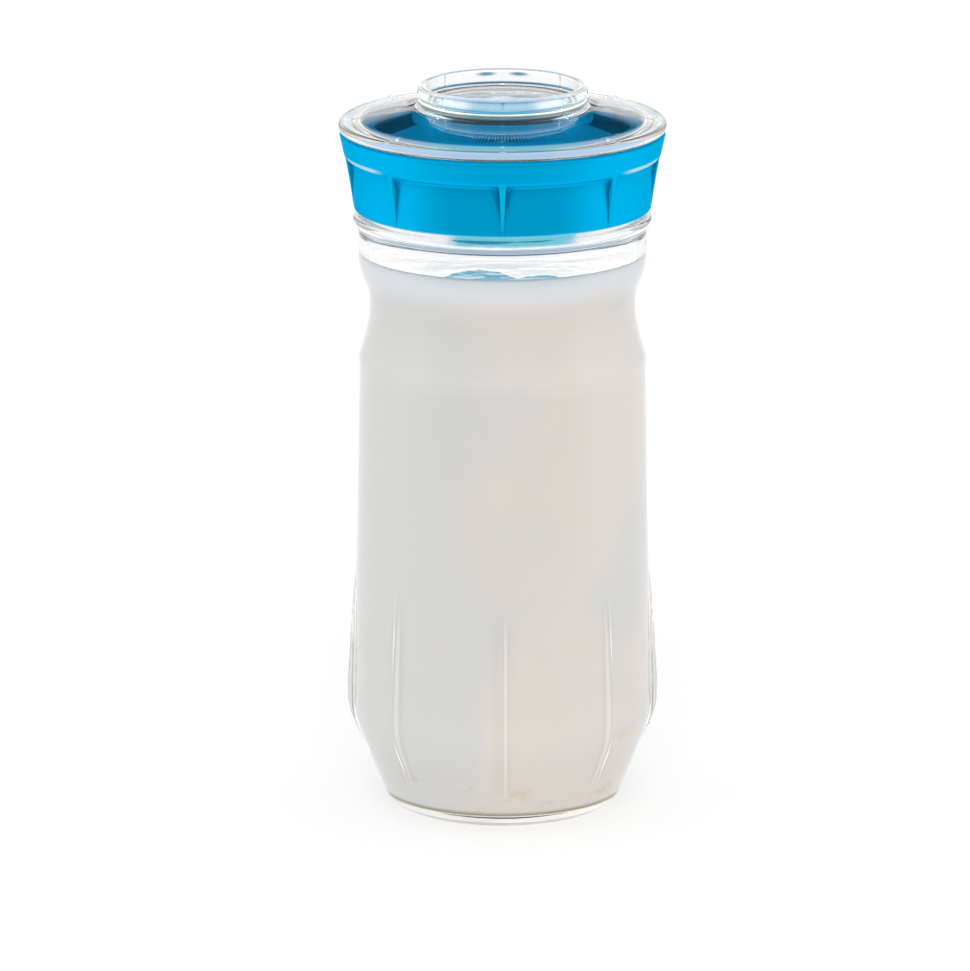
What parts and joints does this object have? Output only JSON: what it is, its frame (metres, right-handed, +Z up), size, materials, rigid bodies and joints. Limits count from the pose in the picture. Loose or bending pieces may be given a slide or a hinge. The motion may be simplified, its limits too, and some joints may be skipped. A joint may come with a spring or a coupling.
{
  "type": "kefir making jar",
  "caption": "Ribbed glass fermenting jar filled with kefir, with a screw-on blue strainer lid and a clear screw-on cover that carries a shallow cup.",
  "frame": {"origin": "on the table, in the middle of the foot ring under the jar", "axes": "+Z up along the axis of the jar and its lids, -Y towards the viewer of the picture"},
  "size_m": [0.0998, 0.0998, 0.2254],
  "materials": {
    "glass": "gloss",
    "kefir": "satin",
    "silicone": "matte",
    "blue_plastic": "gloss",
    "clear_plastic": "gloss"
  },
  "bodies": {
    "jar": {"glass_jar": "glass", "kefir": "kefir"},
    "lid_seal": {"jar_seal": "silicone"},
    "lid": {"strainer_lid": "blue_plastic"},
    "cover_ring": {"cover_seal": "silicone"},
    "cover": {"clear_cover": "clear_plastic"}
  },
  "joints": [
    {"name": "lid_rise", "type": "slide", "parent": "jar", "child": "lid_seal", "axis": [0, 0, 1], "range_m": [0, 0.0166]},
    {"name": "lid_turn", "type": "hinge", "parent": "lid_seal", "child": "lid", "pos_m": [0, 0, 0.2], "axis": [0, 0, 1], "range_deg": [0, 540]},
    {"name": "cover_rise", "type": "slide", "parent": "lid", "child": "cover_ring", "axis": [0, 0, 1], "range_m": [0, 0.0061]},
    {"name": "cover_turn", "type": "hinge", "parent": "cover_ring", "child": "cover", "pos_m": [0, 0, 0.212], "axis": [0, 0, 1], "range_deg": [0, 180]}
  ],
  "couplings": [
    {"joint": "lid_rise", "follows": "lid_turn", "m_per_rad": 0.0017507},
    {"joint": "cover_rise", "follows": "cover_turn", "m_per_rad": 0.0019099}
  ]
}
